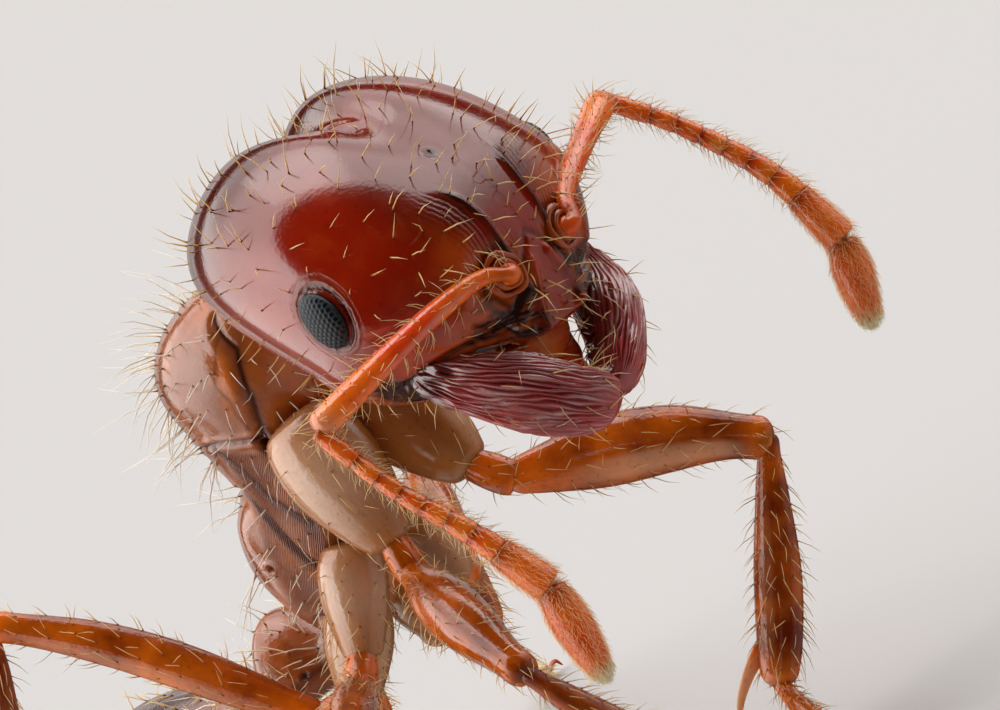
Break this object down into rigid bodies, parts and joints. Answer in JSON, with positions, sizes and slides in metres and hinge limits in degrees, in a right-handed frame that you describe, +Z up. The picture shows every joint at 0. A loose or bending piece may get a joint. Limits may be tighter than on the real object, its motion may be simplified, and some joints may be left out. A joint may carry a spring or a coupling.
{
  "type": "fire ant",
  "caption": "Life-size still model of a large-headed fire ant worker, rearing on its feet with head bent down, feelers forward and gaster low behind",
  "frame": {"origin": "the middle of the bounding box, on the floor the feet stand on", "axes": "+X is where the ant faces, +Y its left side, +Z up"},
  "size_m": [0.0066, 0.0062, 0.0044],
  "materials": {
    "cuticle": "glossy red-brown cuticle, finely grooved on the flanks of the trunk, with sparse golden hairs",
    "limb": "orange-brown translucent cuticle with rows of pale golden hairs",
    "jaw": "dark maroon, coarsely grooved lengthwise, black biting edge",
    "eye": "slate grey facets with dark rims",
    "gaster": "glossy dark brown plates with paler hind margins and long hairs"
  },
  "bodies": {
    "root": {"head": "cuticle", "pronotum": "cuticle", "mesothorax": "cuticle", "propodeum": "cuticle", "petiole": "cuticle", "postpetiole": "cuticle", "gaster_1": "gaster", "gaster_2": "gaster", "gaster_3": "gaster", "gaster_4": "gaster", "eye_left": "eye", "mandible_left": "jaw", "scape_left": "limb", "funiculus_left": "limb", "club_left": "limb", "eye_right": "eye", "mandible_right": "jaw", "scape_right": "limb", "funiculus_right": "limb", "club_right": "limb", "mouthparts": "jaw", "coxa_fore_left": "limb", "trochanter_fore_left": "limb", "femur_fore_left": "limb", "tibia_fore_left": "limb", "tarsus_fore_left": "limb", "coxa_fore_right": "limb", "trochanter_fore_right": "limb", "femur_fore_right": "limb", "tibia_fore_right": "limb", "tarsus_fore_right": "limb", "coxa_mid_left": "limb", "trochanter_mid_left": "limb", "femur_mid_left": "limb", "tibia_mid_left": "limb", "tarsus_mid_left": "limb", "coxa_mid_right": "limb", "trochanter_mid_right": "limb", "femur_mid_right": "limb", "tibia_mid_right": "limb", "tarsus_mid_right": "limb", "coxa_hind_left": "limb", "trochanter_hind_left": "limb", "femur_hind_left": "limb", "tibia_hind_left": "limb", "tarsus_hind_left": "limb", "coxa_hind_right": "limb", "trochanter_hind_right": "limb", "femur_hind_right": "limb", "tibia_hind_right": "limb", "tarsus_hind_right": "limb"}
  },
  "joints": []
}
